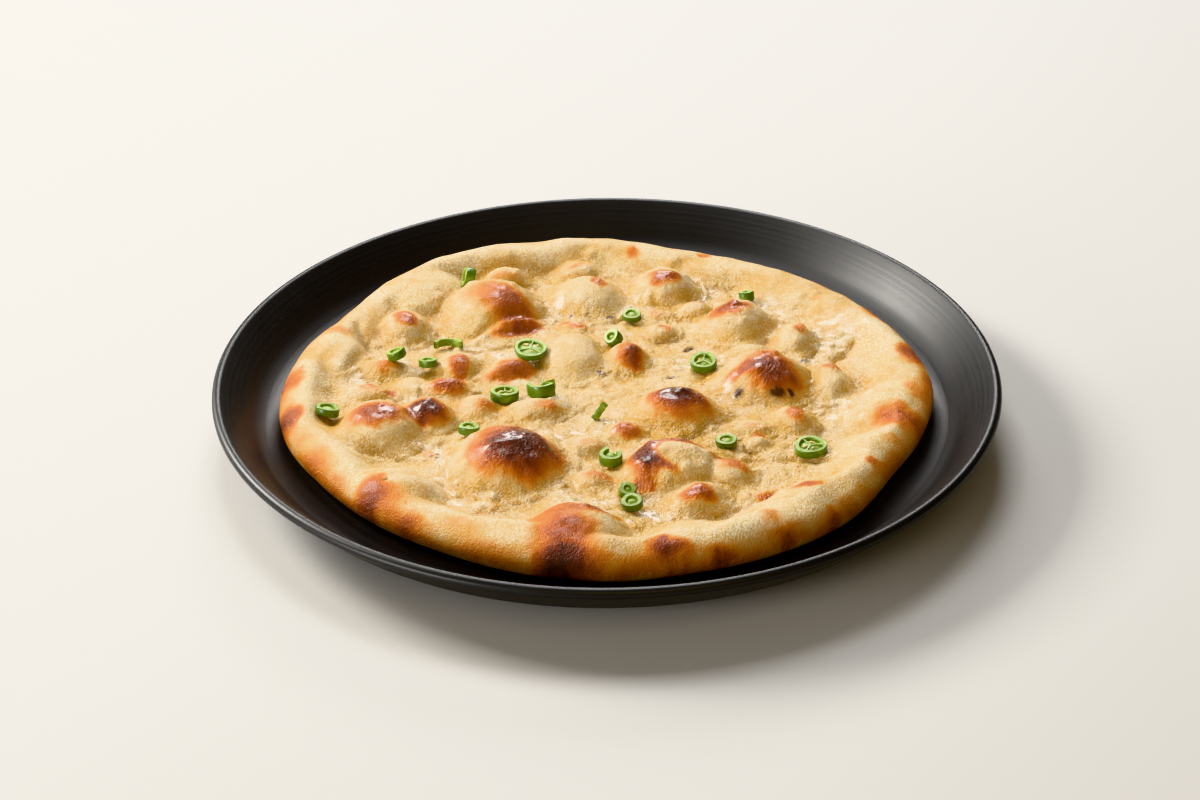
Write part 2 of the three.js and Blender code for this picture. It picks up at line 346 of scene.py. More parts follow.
@dataclass(frozen=True)
class BlackGlaze:
    """Satin black glaze with the faint rings of turning, paler along some rings and smears."""

    body: Colour = (0.0075, 0.0075, 0.0082, 1)
    rubbed: Colour = (0.020, 0.0195, 0.0195, 1)

    def material(self) -> bpy.types.Material:
        """Builds the material."""
        g = Graph("black_glaze")
        x, y, height = (g.add("ShaderNodeSeparateXYZ", None, [g.place], axis) for axis in range(3))
        radius = (x * x + y * y) ** 0.5
        track = g.add("ShaderNodeCombineXYZ", None, [radius, height * 0.6, 0.0])
        rings = g.grain(0.0016, 4.0, 0.7, 0.0, track)
        bands = g.grain(0.0075, 2.0, 0.5, 0.0, track)
        dust = g.grain(0.0009, 1.0)
        smear = g.grain(0.035, 3.0, 0.6)
        colour = g.colours(rings.eased(0.45, 0.8) * 0.5 + smear.eased(0.55, 0.8) * 0.2,
                           self.body, self.rubbed)
        roughness = 0.44 + (rings - 0.5) * 0.14 + (bands - 0.5) * 0.10 + (smear - 0.5) * 0.10
        relief = rings * 0.8 + bands * 1.6 + dust * 0.25
        return g.finish(
            Base_Color=colour,
            Roughness=roughness.at_least(0.2).at_most(0.6),
            IOR=1.5,
            Coat_Weight=0.06,
            Coat_Roughness=0.26,
            Normal=g.bump(relief, 0.00012, 0.6),
        )


@dataclass(frozen=True)
class GreenChilli:
    """Fresh green chilli: waxy skin, wet paler flesh, cream ribs and seeds."""

    skin: Colour = (0.066, 0.140, 0.007, 1)
    young: Colour = (0.135, 0.240, 0.014, 1)
    flesh: Colour = (0.190, 0.290, 0.034, 1)
    vein: Colour = (0.330, 0.430, 0.090, 1)
    rib: Colour = (0.290, 0.390, 0.080, 1)
    seed: Colour = (0.500, 0.400, 0.110, 1)

    def material(self) -> bpy.types.Material:
        """Builds the material; the attribute part runs skin 0, flesh 1, rib 2, seed 3."""
        g = Graph("green_chilli")
        part = g.attribute("part")
        cloud = g.grain(0.0035, 3.0, 0.6)
        fibre = g.grain(0.0007, 3.0, 0.6)
        outside = g.colours(cloud.eased(0.4, 0.7), self.skin, self.young)
        cut = g.colours(fibre.eased(0.42, 0.66), self.flesh, self.vein)
        colour = g.colours(part.eased(0.25, 0.75), outside, cut)
        colour = g.colours(part.eased(1.3, 1.7), colour, self.rib)
        colour = g.colours(part.eased(2.3, 2.7), colour, self.seed)
        roughness = 0.32 + part.eased(0.3, 0.8) * 0.18 + (fibre - 0.5) * 0.2
        height = fibre * (part.eased(0.3, 0.8) * 0.8 + 0.15) + cloud * 0.5
        return g.finish(
            Base_Color=colour,
            Roughness=roughness.at_least(0.15),
            Coat_Weight=(0.22 + (cloud - 0.5) * 0.4).at_least(0.0),
            Coat_Roughness=0.26,
            Subsurface_Weight=0.3,
            Subsurface_Radius=(0.75, 1.0, 0.25),
            Subsurface_Scale=0.0012,
            Normal=g.bump(height, 0.00018, 0.8),
        )


# Mesh helpers ---------------------------------------------------------------------------------
def clear_selection() -> None:
    """Leaves nothing selected."""
    bpy.ops.object.select_all(action="DESELECT")


def choose(piece: bpy.types.Object) -> None:
    """Makes one piece the only selected and the active one."""
    clear_selection()
    piece.select_set(True)
    bpy.context.view_layer.objects.active = piece


def paint(mesh: bpy.types.Mesh, name: str, amounts: Sequence[float]) -> None:
    """Writes a number for each vertex."""
    layer = mesh.attributes.new(name, "FLOAT", "POINT")
    layer.data.foreach_set("value", amounts)


def places(mesh: bpy.types.Mesh) -> List[Vector]:
    """The vertices' places."""
    return [v.co.copy() for v in mesh.vertices]


def set_down(mesh: bpy.types.Mesh, points: Sequence[Vector]) -> None:
    """Moves every vertex to its new place."""
    mesh.vertices.foreach_set("co", [c for p in points for c in p])
    mesh.update()


def hollows(mesh: bpy.types.Mesh, reach: int) -> List[float]:
    """Finds how far each vertex lies below the ground around it.

    Args:
        mesh: the surface.
        reach: how many times the ground is evened out to get its general level.

    Returns:
        The depth of each vertex in metres, below 0 where it stands proud.
    """
    count = len(mesh.vertices)
    flat = numpy.empty(count * 3)
    mesh.vertices.foreach_get("co", flat)
    ends = numpy.empty(len(mesh.edges) * 2, dtype=numpy.int32)
    mesh.edges.foreach_get("vertices", ends)
    one, other = ends[0::2], ends[1::2]
    shared = numpy.bincount(one, minlength=count) + numpy.bincount(other, minlength=count)
    height = flat[2::3]
    level = height.copy()
    for _ in range(reach):
        around = (numpy.bincount(one, level[other], count)
                  + numpy.bincount(other, level[one], count))
        level = (level + around / shared) / 2
    return list(level - height)


def settle(piece: bpy.types.Object, node: str, material: bpy.types.Material) -> None:
    """Names, dresses and mounts a finished piece in place of its CAD node."""
    piece.name = node + "_baked" if node == "naan" else node + "_look"
    piece.data.name = piece.name
    piece.data.materials.clear()
    piece.data.materials.append(material)
    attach(piece, BODY)
    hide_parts(node)
    LOG.info("%s: %d faces", piece.name, len(piece.data.polygons))


def turned(profile: Sequence[Tuple[float, float]], steps: int, sweep: float = 2 * math.pi,
           closed: bool = False) -> bpy.types.Object:
    """Draws a profile by extruding a point along it, then spins it about the upright axis.

    Args:
        profile: (radius, height) points in metres.
        steps: faces round the sweep.
        sweep: how far round, in radians.
        closed: whether the profile's last point joins its first.

    Returns:
        The turned piece, still at the origin.
    """
    clear_selection()
    bpy.ops.mesh.primitive_plane_add(size=0.001, location=(0, 0, 0))
    piece = bpy.context.active_object
    bpy.ops.object.mode_set(mode="EDIT")
    bpy.ops.mesh.merge(type="CENTER")
    bpy.ops.transform.translate(value=(profile[0][0], 0, profile[0][1]))
    for (r0, z0), (r1, z1) in zip(profile, profile[1:]):
        step = (r1 - r0, 0, z1 - z0)
        bpy.ops.mesh.extrude_region_move(TRANSFORM_OT_translate={"value": step})
    bpy.ops.mesh.select_all(action="SELECT")
    if closed:
        bpy.ops.mesh.select_all(action="DESELECT")
        bpy.ops.object.mode_set(mode="OBJECT")
        piece.data.vertices[0].select = True
        piece.data.vertices[len(piece.data.vertices) - 1].select = True
        bpy.ops.object.mode_set(mode="EDIT")
        bpy.ops.mesh.edge_face_add()
        bpy.ops.mesh.select_all(action="SELECT")
    bpy.ops.mesh.spin(steps=steps, angle=sweep, center=(0, 0, 0), axis=(0, 0, 1))
    bpy.ops.mesh.select_all(action="SELECT")
    bpy.ops.mesh.remove_doubles(threshold=1e-6)
    if sweep < 2 * math.pi - 1e-6:
        bpy.ops.mesh.fill_holes(sides=0)
        bpy.ops.mesh.select_all(action="SELECT")
    bpy.ops.mesh.normals_make_consistent(inside=False)
    bpy.ops.object.mode_set(mode="OBJECT")
    return piece


# The bread ------------------------------------------------------------------------------------
BLISTER_SPREAD = 1.08  # how far past its listed size a blister's side runs out
BLISTER_REACH = 1.22  # share at which nothing of a blister is left
CINDER_REACH = 6.0  # no cinder reaches further than this from its middle


@dataclass(frozen=True)
class Oval:
    """A turned oval on the bread."""

    x: float
    y: float
    half_width: float
    half_depth: float
    turn: float

    def share(self, x: float, y: float) -> float:
        """How far out a point is: 0 in the middle, 1 on the oval."""
        away_x, away_y = x - self.x, y - self.y
        if self.turn:
            sine, cosine = math.sin(math.radians(self.turn)), math.cos(math.radians(self.turn))
            away_x, away_y = away_x * cosine + away_y * sine, away_y * cosine - away_x * sine
        return math.hypot(away_x / self.half_width, away_y / self.half_depth)

    def cover(self, x: float, y: float) -> float:
        """How much a soft-edged mark covers a point, from 0 to 1."""
        return ease(self.share(x, y), 1.38, 0.24)


@dataclass(frozen=True)
class Blister(Oval):
    """A dome of puffed crust."""

    rise: float

    def lift(self, share: float) -> float:
        """How far the crust is raised: a full top that runs out softly into the crumb."""
        share /= BLISTER_SPREAD
        if share < 0.62:
            return self.rise * (1.0 - 0.93 * share * share)
        return self.rise * (0.6425 * ease(share, 1.12, 0.34) / 0.7046)


@dataclass(frozen=True)
class Scorch(Oval):
    """A browned or glazed patch, and how deep its colour is."""

    depth: float

    def at(self, x: float, y: float) -> float:
        """How brown a point is."""
        return self.depth * self.cover(x, y)


@dataclass(frozen=True)
class Cinder(Oval):
    """A burnt crumb, or a slit where its rise is below 0."""

    rise: float
    burnt: float

    def near(self, x: float, y: float) -> bool:
        """Whether a point is close enough to be on it."""
        return abs(x - self.x) < CINDER_REACH and abs(y - self.y) < CINDER_REACH


# Middle x, y, half width, half depth, turn, rise over the crumb.
BLISTERS: Tuple[Tuple[float, ...], ...] = (
    (-46, 63, 22, 21, 0, 14), (-37, -53, 22, 21, 0, 14), (61, 5, 19, 18, 0, 12.5),
    (26, -18, 16, 13.5, 0, 11), (-86, -29, 17, 17, 0, 11), (24, 80, 15, 14, 0, 11),
    (24, -58, 20, 15, 0, 11), (53, 51, 16, 13, 20, 10), (-8, 74, 16, 17, 0, 9),
    (-12, -102, 19, 19, 0, 11), (-77, -75, 20, 17, -30, 10), (-78, 76, 20, 24, -40, 10.5),
    (-107, 26, 14, 22, 12, 9), (107, -18, 15, 20, -10, 9), (70, -84, 26, 15, 42, 9),
    (-46, 107, 24, 14, 18, 10), (-81, 49, 11, 13, 0, 9), (-68, -20, 11, 10.5, 0, 8),
    (-13, 25, 13, 18, 0, 8), (8, 24, 9, 9, 20, 8), (-58, 18, 10, 9, 0, 7),
    (75, 38, 8, 11, 0, 6.5), (-37, 15, 12, 7.5, 15, 6.5), (32, -78, 13, 8, 25, 6.5),
    (-62, 1, 10, 7, 0, 6), (44, -62, 9, 10, 0, 6), (86, 4, 8, 14, 0, 6.5),
    (69, -25, 9, 9, 0, 6), (-49, -14, 9, 8, 0, 6), (-27, -16, 12, 8, 0, 6),
    (-88, 17, 11, 7, 0, 5), (-92, -3, 11, 7, 0, 5), (-12, 97, 10, 8, 0, 6),
    (58, 27, 10, 6, 0, 5), (36, 63, 7, 7, 0, 5), (7, -32, 8, 6, 0, 5),
    (-42, 88, 11, 8, 0, 8), (-75, 3, 9, 7, 0, 4.5), (-6, -65, 8, 6, 0, 4.5),
    (-8, -41, 8, 6, 0, 4), (-44, 38, 14, 5, 15, 2.4), (21, 58, 8, 5, 0, 3.5),
    (23, 45, 7, 5, 0, 3.5), (53, -30, 10, 6, 0, 3.5), (-13, 50, 7, 5, 0, 3),
    (56, -40, 5, 4, 0, 3), (-44, -82, 6, 4, 0, 3), (93, 46, 12, 10, 0, 3.5),
    (14, 104, 13, 8, 0, 5), (46, 96, 16, 9, -14, 5), (80, 74, 15, 11, -45, 5),
    (96, -58, 13, 10, 40, 5), (-100, -48, 14, 10, -60, 5), (-58, -98, 17, 9, -25, 5),
    (30, -103, 18, 11, 8, 6), (110, 24, 12, 16, 12, 5),
)

# Middle x, y, half width, half depth, turn, depth of colour.
SCORCHES: Tuple[Tuple[float, ...], ...] = (
    # the large domes
    (-37, 53, 12, 12, 10, 0.56), (-48, 61, 14, 10, 0, 0.26), (-36, 44, 13, 3, 25, 0.52),
    (-42, 86, 8, 3, 0, 0.28), (-33, -59, 16, 12, 12, 0.80), (-34, -54, 19, 15, 0, 0.42),
    (-25, -51, 12, 5, -20, 0.48),
    (64, -2, 11, 10, -20, 0.68), (53, 1, 10, 4, 0, 0.52), (65, 1, 15, 11, 0, 0.22),
    (26, -18, 11, 7, 0, 0.88), (29, -22, 13, 8, 0, 0.52), (-86, -30, 12, 8, 0, 0.66),
    (25, 77, 8, 5, 0, 0.62), (16, -53, 7, 4, 30, 0.66),
    (28, -51, 12, 3.2, -4, 0.60), (42, -55, 8, 3.5, -22, 0.52), (13, -60, 6, 8, 10, 0.88),
    (13, -70, 6, 4, 0, 0.5), (19, -64, 9, 3, -25, 0.66), (50, 52, 10, 6, 10, 0.68),
    (-3, 77, 4, 5, 0, 0.52),
    # the middling domes
    (-80, 47, 6, 6, 0, 0.56), (-12, 96, 5, 3, 0, 0.30), (21, 58, 5, 3, 0, 0.28),
    (23, 45, 4, 3, 0, 0.42), (37, 64, 6, 4, 0, 0.18), (77, 39, 4, 5, 0, 0.46),
    (93, 47, 11, 8, 0, 0.13), (88, 10, 5, 6, 0, 0.46), (46, -61, 8, 4, 0, 0.42),
    (32, -80, 8, 5, 20, 0.60), (7, -34, 7, 4, 0, 0.52), (-6, -42, 6, 4, 0, 0.24),
    (-68, -22, 10, 7, 0, 0.86), (-61, -1, 8, 5, 0, 0.62), (-57, 13, 5, 7, 0, 0.55),
    (-35, 12, 9, 5, 10, 0.60), (-43, 8, 6, 3, 0, 0.40), (-46, -16, 6, 4, 0, 0.36),
    (-22, -17, 6, 5, 0, 0.34), (-86, 15, 6, 4, 0, 0.36), (-91, -2, 6, 4, 0, 0.30),
    (-82, -3, 3, 2.5, 0, 0.46), (10, 20, 6, 7, 0, 0.72), (-17, 52, 3.5, 2.5, 0, 0.44),
    (-11, 49, 6, 2, 0, 0.42), (71, -25, 4.5, 7, 0, 0.48), (54, -31, 5, 3, 0, 0.24),
    (57, -36, 3.5, 2, 0, 0.50), (-3, -65, 8, 4, 0, 0.36), (-40, -82, 4, 3, 0, 0.22),
    (-14, 22, 8, 9, 0, 0.10), (44, 37, 14, 5, 8, 0.14), (-66, -44, 6, 2, -20, 0.30),
    # the rim
    (-84, -80, 6, 10, -12, 0.58), (-77, -84, 8, 7, 0, 0.34), (-20, -95, 11, 8, 0, 0.42),
    (-6, -94, 9, 5, 10, 0.52), (-15, -109, 13, 11, 0, 0.62), (-17, -120, 9, 6, 0, 0.90),
    (-12, -120, 13, 5, 0, 0.40), (20, -116, 8, 5, 0, 0.74), (39, -116, 4, 2.5, 0, 0.56),
    (108, -31, 11, 9, -20, 0.55), (117, -12, 6, 9, 0, 0.30), (119, 18, 7, 10, 8, 0.58),
    (111, 54, 7, 9, 30, 0.52), (95, 84, 8, 3, -42, 0.34), (95, -63, 4, 3, 0, 0.44),
    (104, -48, 5, 3, 0, 0.24), (80, -94, 4, 4, 0, 0.46), (63, -107, 4, 3, 0, 0.40),
    (56, -100, 5, 4, 0, 0.28), (92, -78, 6, 4, 0, 0.22), (70, -80, 6, 3, 20, 0.60),
    (56, -75, 6, 3.5, 15, 0.54), (11, 106, 4, 4, 0, 0.44), (41, 105, 4, 3, 0, 0.46),
    (74, 102, 11, 3, -28, 0.42), (-37, 122, 4, 3, 0, 0.34), (-92, 84, 7, 5, 40, 0.34),
    (-106, 38, 8, 5, -30, 0.26), (-120, 1, 5, 8, 0, 0.42), (-119, -26, 6, 8, 0, 0.62),
    (-111, -42, 5, 3, 0, 0.12), (-103, -54, 4, 7, 20, 0.15), (-96, -66, 4, 3, 0, 0.08),
    (-70, -95, 6, 4, 0, 0.26), (-52, -101, 9, 4, -20, 0.18), (0, -92, 10, 3, -8, 0.36),
    (30, 120, 8, 3, -20, 0.26), (-8, 126, 10, 3, 0, 0.26), (-112, 52, 5, 7, 20, 0.20),
    (122, 0, 4, 7, 0, 0.20), (88, -90, 6, 3, 42, 0.18), (-92, -86, 7, 3, -44, 0.20),
    (-60, -108, 9, 3, -22, 0.20), (46, -118, 9, 3, 14, 0.22), (112, -54, 4, 6, -20, 0.18),
)

# Butter shining on crinkled skin, its colour also made paler as a painted sheen: middle x, y, half
# width, half depth, turn, depth.
GLAZES: Tuple[Tuple[float, ...], ...] = (
    (-58, -46, 13, 7, -40, 1.0), (-48, -78, 17, 6, -8, 1.0), (-62, -62, 9, 9, 0, 0.7),
    (92, 44, 13, 12, 30, 0.9), (84, 24, 8, 15, -15, 1.0), (89, -16, 9, 12, 20, 1.0),
    (76, -46, 12, 7, 20, 0.7), (14, -88, 16, 5, 8, 1.0), (46, -82, 14, 5, 30, 0.8),
    (-84, 28, 9, 7, 0, 0.8), (-60, 32, 13, 5, 0, 0.8), (-98, 10, 8, 6, 0, 0.7),
    (-16, 62, 12, 9, 0, 0.8), (-22, 34, 9, 12, 0, 0.8), (14, 66, 13, 8, 0, 0.7),
    (40, 80, 13, 9, 0, 0.9), (64, 64, 12, 9, -20, 0.9), (36, 20, 12, 8, 20, 0.7),
    (44, -2, 6, 9, 0, 0.9), (-2, -28, 10, 6, 0, 0.9), (-16, -34, 11, 6, 0, 0.6),
    (-46, 30, 12, 5, 0, 0.7), (-72, -6, 9, 6, 0, 0.7), (-8, -76, 12, 6, 0, 0.7),
    (56, -14, 7, 5, 0, 0.7), (14, -74, 6, 5, 0, 0.7), (-30, 4, 12, 5, 0, 0.6),
)

# Burnt crumbs and slits: x, y, half width, half depth, turn, rise, how burnt.
CINDERS: Tuple[Tuple[float, ...], ...] = (
    (50, -8, 2.1, 1.9, 0, 1.0, 1.0), (65, -10, 3.6, 1.6, 8, 0.7, 1.0),
    (70, -9, 1.8, 1.6, 0, 0.8, 1.0), (78, 22, 2.2, 1.4, 20, 0.6, 0.9),
    (33, 33, 4.2, 1.5, 55, -1.6, 1.0), (26, 11, 2.8, 1.0, 0, -0.5, 1.0),
    (-2, 12, 2.2, 1.8, 0, 0.9, 1.0), (2, 58, 2.2, 1.5, 30, 0.7, 0.9),
    (-65, -47, 1.2, 1.0, 0, 0.7, 1.0), (-62, -49, 1.4, 1.1, 0, 0.8, 1.0),
    (-63, -46, 0.9, 0.8, 0, 0.5, 1.0), (-67, -49, 0.8, 0.7, 0, 0.4, 0.8),
    (-9, -60, 2.2, 0.7, 10, 0.3, 0.7), (65, -52, 1.0, 0.8, 0, 0.6, 0.9),
    (-79, -76, 1.1, 0.8, 0, -1.4, 0.8), (-14, 58, 1.5, 0.9, 30, 0.6, 0.7),
    (-17, -48, 1.0, 0.8, 0, 0.5, 0.8),
)

# Folded skin: x, y at both ends, half width, height (a groove where it is below 0).
FOLDS: Tuple[Tuple[float, ...], ...] = (
    (-55, 37, -24, 53, 2.0, 1.5), (-56, 41, -25, 57, 1.4, -1.2),
    (12, -52, 30, -50, 2.6, 1.3), (10, -60, 14, -72, 2.2, 1.0),
    (-52, -50, -38, -44, 1.8, 0.9), (-44, -60, -30, -56, 1.6, 0.8),
    (-100, 46, -94, 30, 1.8, -2.4), (-94, 30, -101, 12, 1.8, -2.2),
    (48, 4, 66, 12, 1.8, 0.9), (50, -4, 60, -1, 1.5, 0.8),
    (-95, -44, -70, -50, 1.8, -1.0), (-62, -38, -58, -70, 1.6, -1.0),
    (60, 58, 42, 60, 1.4, 0.6), (-64, -14, -70, -24, 1.3, 0.7),
    (100, 36, 92, 24, 1.7, -2.2), (90, 26, 97, 4, 2.0, -2.0),
    (48, -50, 92, -52, 2.0, -1.2), (40, -88, 74, -66, 2.4, -1.8),
)


@dataclass
class Naan:
    """The bread: a round of dough with a puffed rim and blisters, baked as one piece."""

    radius: float = 123.0
    crumb_rise: float = 6.0
    rim_rise: float = 14.0
    rim_crest: float = 9.0
    rim_width: float = 26.0
    waist_rise: float = 6.0
    top_roll: float = 13.0
    under_roll: float = 8.0
    crease: float = 2.4
    across: int = 288
    under_rings: int = 5
    bubbles: int = 620
    bubbled: float = 112.0
    cell: int = 8
    pull: Tuple[float, ...] = (
        2.5, 1, 0, 0, -2.5, -3.5, 0, 0.5, 3, 1, -2.5, 0,
        2, 1.7, -1.5, -2.5, -3, -1, 0.5, -0.5, 0, -0.4, -3.5, -0.7,
    )
    puff: Tuple[float, ...] = (0.5, -1.5, -2, 0.5, 2.5, 1.5, 0, 0, 0, 1, 1, 0)
    finish: Bread = Bread()
    floor: float = field(init=False)
    _blisters: List[Blister] = field(init=False)
    _scorches: List[Scorch] = field(init=False)
    _glazes: List[Scorch] = field(init=False)
    _cinders: List[Cinder] = field(init=False)
    _bubbles: Dict[Tuple[int, int], List[Tuple[float, ...]]] = field(init=False)

    def __post_init__(self) -> None:
        """Reads the bread's underside off the frame and lays out its marks."""
        self.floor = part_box("naan")[0][2] / MM
        self._blisters = [Blister(*row) for row in BLISTERS]
        self._scorches = [Scorch(*row) for row in SCORCHES]
        self._glazes = [Scorch(*row) for row in GLAZES]
        self._cinders = [Cinder(*row) for row in CINDERS]
        self._bubbles = {}
        chance = random.Random(11)
        for _ in range(self.bubbles):
            angle, out = chance.uniform(0, 2 * math.pi), math.sqrt(chance.random())
            x, y = math.cos(angle) * out * self.bubbled, math.sin(angle) * out * self.bubbled
            size = chance.uniform(1.1, 3.4)
            bubble = (x, y, size, size * chance.uniform(0.13, 0.30))
            for i in self._cells(x, size):
                for j in self._cells(y, size):
                    self._bubbles.setdefault((i, j), []).append(bubble)

    def _cells(self, middle: float, size: float) -> range:
        """The cells of the bubbles' grid that a bubble touches along one axis."""
        return range(int((middle - size) // self.cell), int((middle + size) // self.cell) + 1)

    def edge(self, angle: float) -> float:
        """The edge's distance from the middle."""
        return self.radius + round_loop(self.pull, angle)

    def soft_max(self, a: float, b: float) -> float:
        """The larger of two heights, with the crease between them rounded."""
        near = max(self.crease - abs(a - b), 0.0) / self.crease
        return max(a, b) + near * near * self.crease / 4

    def body_rise(self, x: float, y: float) -> float:
        """Height of the top over the underside, with its blisters and rim but no finer skin."""
        angle, out = math.atan2(y, x), math.hypot(x, y)
        inset = self.edge(angle) - out
        sway = ripple(x, y, 19, 4.0) * 5.0
        down_rim = ease(inset + sway, self.rim_crest, self.rim_width)
        crown = self.rim_rise + round_loop(self.puff, angle)
        crown += ripple(x, y, 26, 9.5) * 1.4 + ripple(x, y, 11, 9.0) * 0.9
        valley = self.crumb_rise + ripple(x, y, 15, 1.0) * 1.5 + ripple(x, y, 7, 2.0) * 0.8
        rise = blend(crown, valley, down_rim)
        warp = noise.noise_vector(Vector((x / 24, y / 24, 3.1))) * 1.7
        warp += noise.noise_vector(Vector((x / 9, y / 9, 7.7))) * 0.45
        near_x, near_y = x + warp.x, y + warp.y
        for blister in self._blisters:
            reach = max(blister.half_width, blister.half_depth) * BLISTER_REACH
            if abs(near_x - blister.x) > reach or abs(near_y - blister.y) > reach:
                continue
            share = blister.share(near_x, near_y)
            if share < BLISTER_REACH:
                rise = self.soft_max(rise, self.crumb_rise + blister.lift(share))
        return rise

    def skin(self, x: float, y: float, rise: float, inset: float) -> float:
        """Height of the fine skin on top of the body: wrinkles, bubbles, folds and cinders."""
        hollow = ease(rise, 11.0, 6.5) * ease(inset, 8.0, 26.0)
        fine = ripple(x, y, 4.2, 5.0) * 0.14 + ripple(x, y, 2.1, 6.0) * 0.07
        crinkle = 1.0 - abs(ripple(x * 0.8 + y * 0.35, y, 5.0, 8.0)) * 2.0
        height = fine * (0.6 + hollow) + crinkle * 0.24 * hollow
        height += (1.0 - abs(ripple(x, y, 2.6, 12.0)) * 2.0) * 0.12 * hollow
        wide = 0.35 + 0.65 * ease(inset, 4.0, 24.0)
        for bx, by, size, lift in self._bubbles.get(
                (int(x // self.cell), int(y // self.cell)), ()):
            out = ((x - bx) ** 2 + (y - by) ** 2) / (size * size)
            if out < 1:
                height += lift * (1 - out) ** 1.5 * wide
        for x0, y0, x1, y1, half, lift in FOLDS:
            run = Vector((x1 - x0, y1 - y0))
            along = ((x - x0) * run.x + (y - y0) * run.y) / run.length_squared
            if -0.2 < along < 1.2:
                bend = ripple(x, y, 8, 14.0) * 1.6
                off = ((x - x0) * run.y - (y - y0) * run.x) / run.length + bend
                fade = ease(along, -0.2, 0.25) * ease(along, 1.2, 0.75)
                height += lift * math.exp(-((off / half) ** 2)) * fade
        tight = self.scorch(x, y) ** 2 * ease(inset, 12.0, 26.0)
        tight = max(tight, self.glaze(x, y) * 1.25)
        if tight > 0.02:
            height += tight * (ripple(x, y, 3.6, 17.0) * 0.33 + ripple(x, y, 1.9, 19.0) * 0.11
                               + (1.0 - abs(ripple(x * 0.7 + y * 0.5, y, 6.0, 18.0)) * 3.0) * 0.16)
        dent = Oval(25, -62, 11, 6, 10).cover(x, y)
        height -= dent * (1.3 + ripple(x, y, 5.0, 15.0) * 0.4)
        for cinder in self._cinders:
            if cinder.near(x, y):
                height += cinder.rise * cinder.cover(x, y) * (
                    0.7 + ripple(x, y, 0.9, 16.0) * 0.6)
        return height

    def glaze(self, x: float, y: float) -> float:
        """How much butter shines on crinkled skin, from 0 to 1; the finish also paints it paler, a
        painted sheen.
        """
        most = 0.0
        for pool in self._glazes:
            if abs(x - pool.x) < 44 and abs(y - pool.y) < 44:
                near_x, near_y = x + ripple(x, y, 9, 41.0) * 7, y + ripple(x, y, 9, 42.0) * 7
                most = max(most, pool.at(near_x, near_y))
        return most * ease(ripple(x, y, 4.5, 43.0), -0.32, 0.12)

    def scorch(self, x: float, y: float) -> float:
        """How brown the crust is, from 0 to 1."""
        wander_x = x + ripple(x, y, 6, 21.0) * 2.2 + ripple(x, y, 2.2, 22.0) * 0.8
        wander_y = y + ripple(x, y, 6, 23.0) * 2.2 + ripple(x, y, 2.2, 24.0) * 0.8
        pale = 1.0
        for mark in self._scorches:
            if abs(x - mark.x) > 32 or abs(y - mark.y) > 26:
                continue
            pale *= 1.0 - mark.at(wander_x, wander_y)
        return 1.0 - pale

    def _sheet(self) -> bpy.types.Object:
        """Adds a square sheet and extrudes its edge down in rings that meet underneath."""
        count = self.across
        clear_selection()
        bpy.ops.mesh.primitive_grid_add(x_subdivisions=count, y_subdivisions=count, size=2.0)
        piece = bpy.context.active_object
        bpy.ops.object.mode_set(mode="EDIT")
        bpy.ops.mesh.select_mode(type="EDGE")
        bpy.ops.mesh.select_all(action="DESELECT")
        bpy.ops.mesh.select_non_manifold()
        for _ in range(self.under_rings + 3):
            bpy.ops.mesh.extrude_region_move(TRANSFORM_OT_translate={"value": (0, 0, -1)})
        bpy.ops.mesh.merge(type="CENTER")
        bpy.ops.mesh.select_all(action="SELECT")
        bpy.ops.mesh.normals_make_consistent(inside=False)
        bpy.ops.mesh.select_mode(type="VERT")
        bpy.ops.object.mode_set(mode="OBJECT")
        return piece

    @staticmethod
    def _round(u: float, v: float) -> Tuple[float, float]:
        """Maps the square sheet to a disc of even cells.

        Args:
            u: across the square, from -1 to 1.
            v: up the square, from -1 to 1.

        Returns:
            The distance from the middle, from 0 to 1, and the angle.
        """
        if abs(u) < 1e-9 and abs(v) < 1e-9:
            return 0.0, 0.0
        if abs(u) >= abs(v):
            quarter = math.pi / 4 * v / u
            return (u, quarter) if u > 0 else (-u, quarter + math.pi)
        quarter = math.pi / 2 - math.pi / 4 * u / v
        return (v, quarter) if v > 0 else (-v, quarter + math.pi)

    def _shape(self, flat: Vector) -> Tuple[Vector, float]:
        """Carries a point of the sheet to the bread's surface.

        Args:
            flat: the point on the sheet; its z counts the rings below the edge.

        Returns:
            The point in millimetres over the underside, and its inset from the edge, which is
            below 0 on the underside.
        """
        ring = round(-flat.z)
        last = self.under_rings + 3
        if ring >= last:
            return Vector((0, 0, 0)), -2.0
        out, angle = self._round(flat.x, flat.y)
        level = self.radius - self.top_roll
        arc = math.hypot(self.top_roll, self.rim_rise - self.waist_rise) * 1.12
        pulled = self.edge(angle) / self.radius
        heading = Vector((math.cos(angle), math.sin(angle), 0))
        if ring == 0:
            run = out * (level + arc)
            roll = max(run - level, 0.0) / arc * math.pi / 2
            reach = min(run, level) + self.top_roll * math.sin(roll)
            point = heading * (reach * pulled)
            inset = self.edge(angle) - point.length
            body = self.body_rise(point.x, point.y)
            fine = self.skin(point.x, point.y, body, inset)
            rolled = max(1.0 - inset / self.top_roll, 0.0)
            dome = math.sqrt(max(1.0 - rolled * rolled, 0.0))
            point.z = blend(self.waist_rise, body, dome) + fine * dome
            return point, inset
        if ring <= self.under_rings:
            tuck = math.pi / 2 * ring / self.under_rings
            reach = self.radius - self.under_roll * (1 - math.cos(tuck))
            point = heading * (reach * pulled)
            point.z = self.waist_rise * (1 - math.sin(tuck))
            return point, -tuck / (math.pi / 2)
        share = (last - ring) / (last - self.under_rings)
        return heading * ((self.radius - self.under_roll) * pulled * share), -2.0

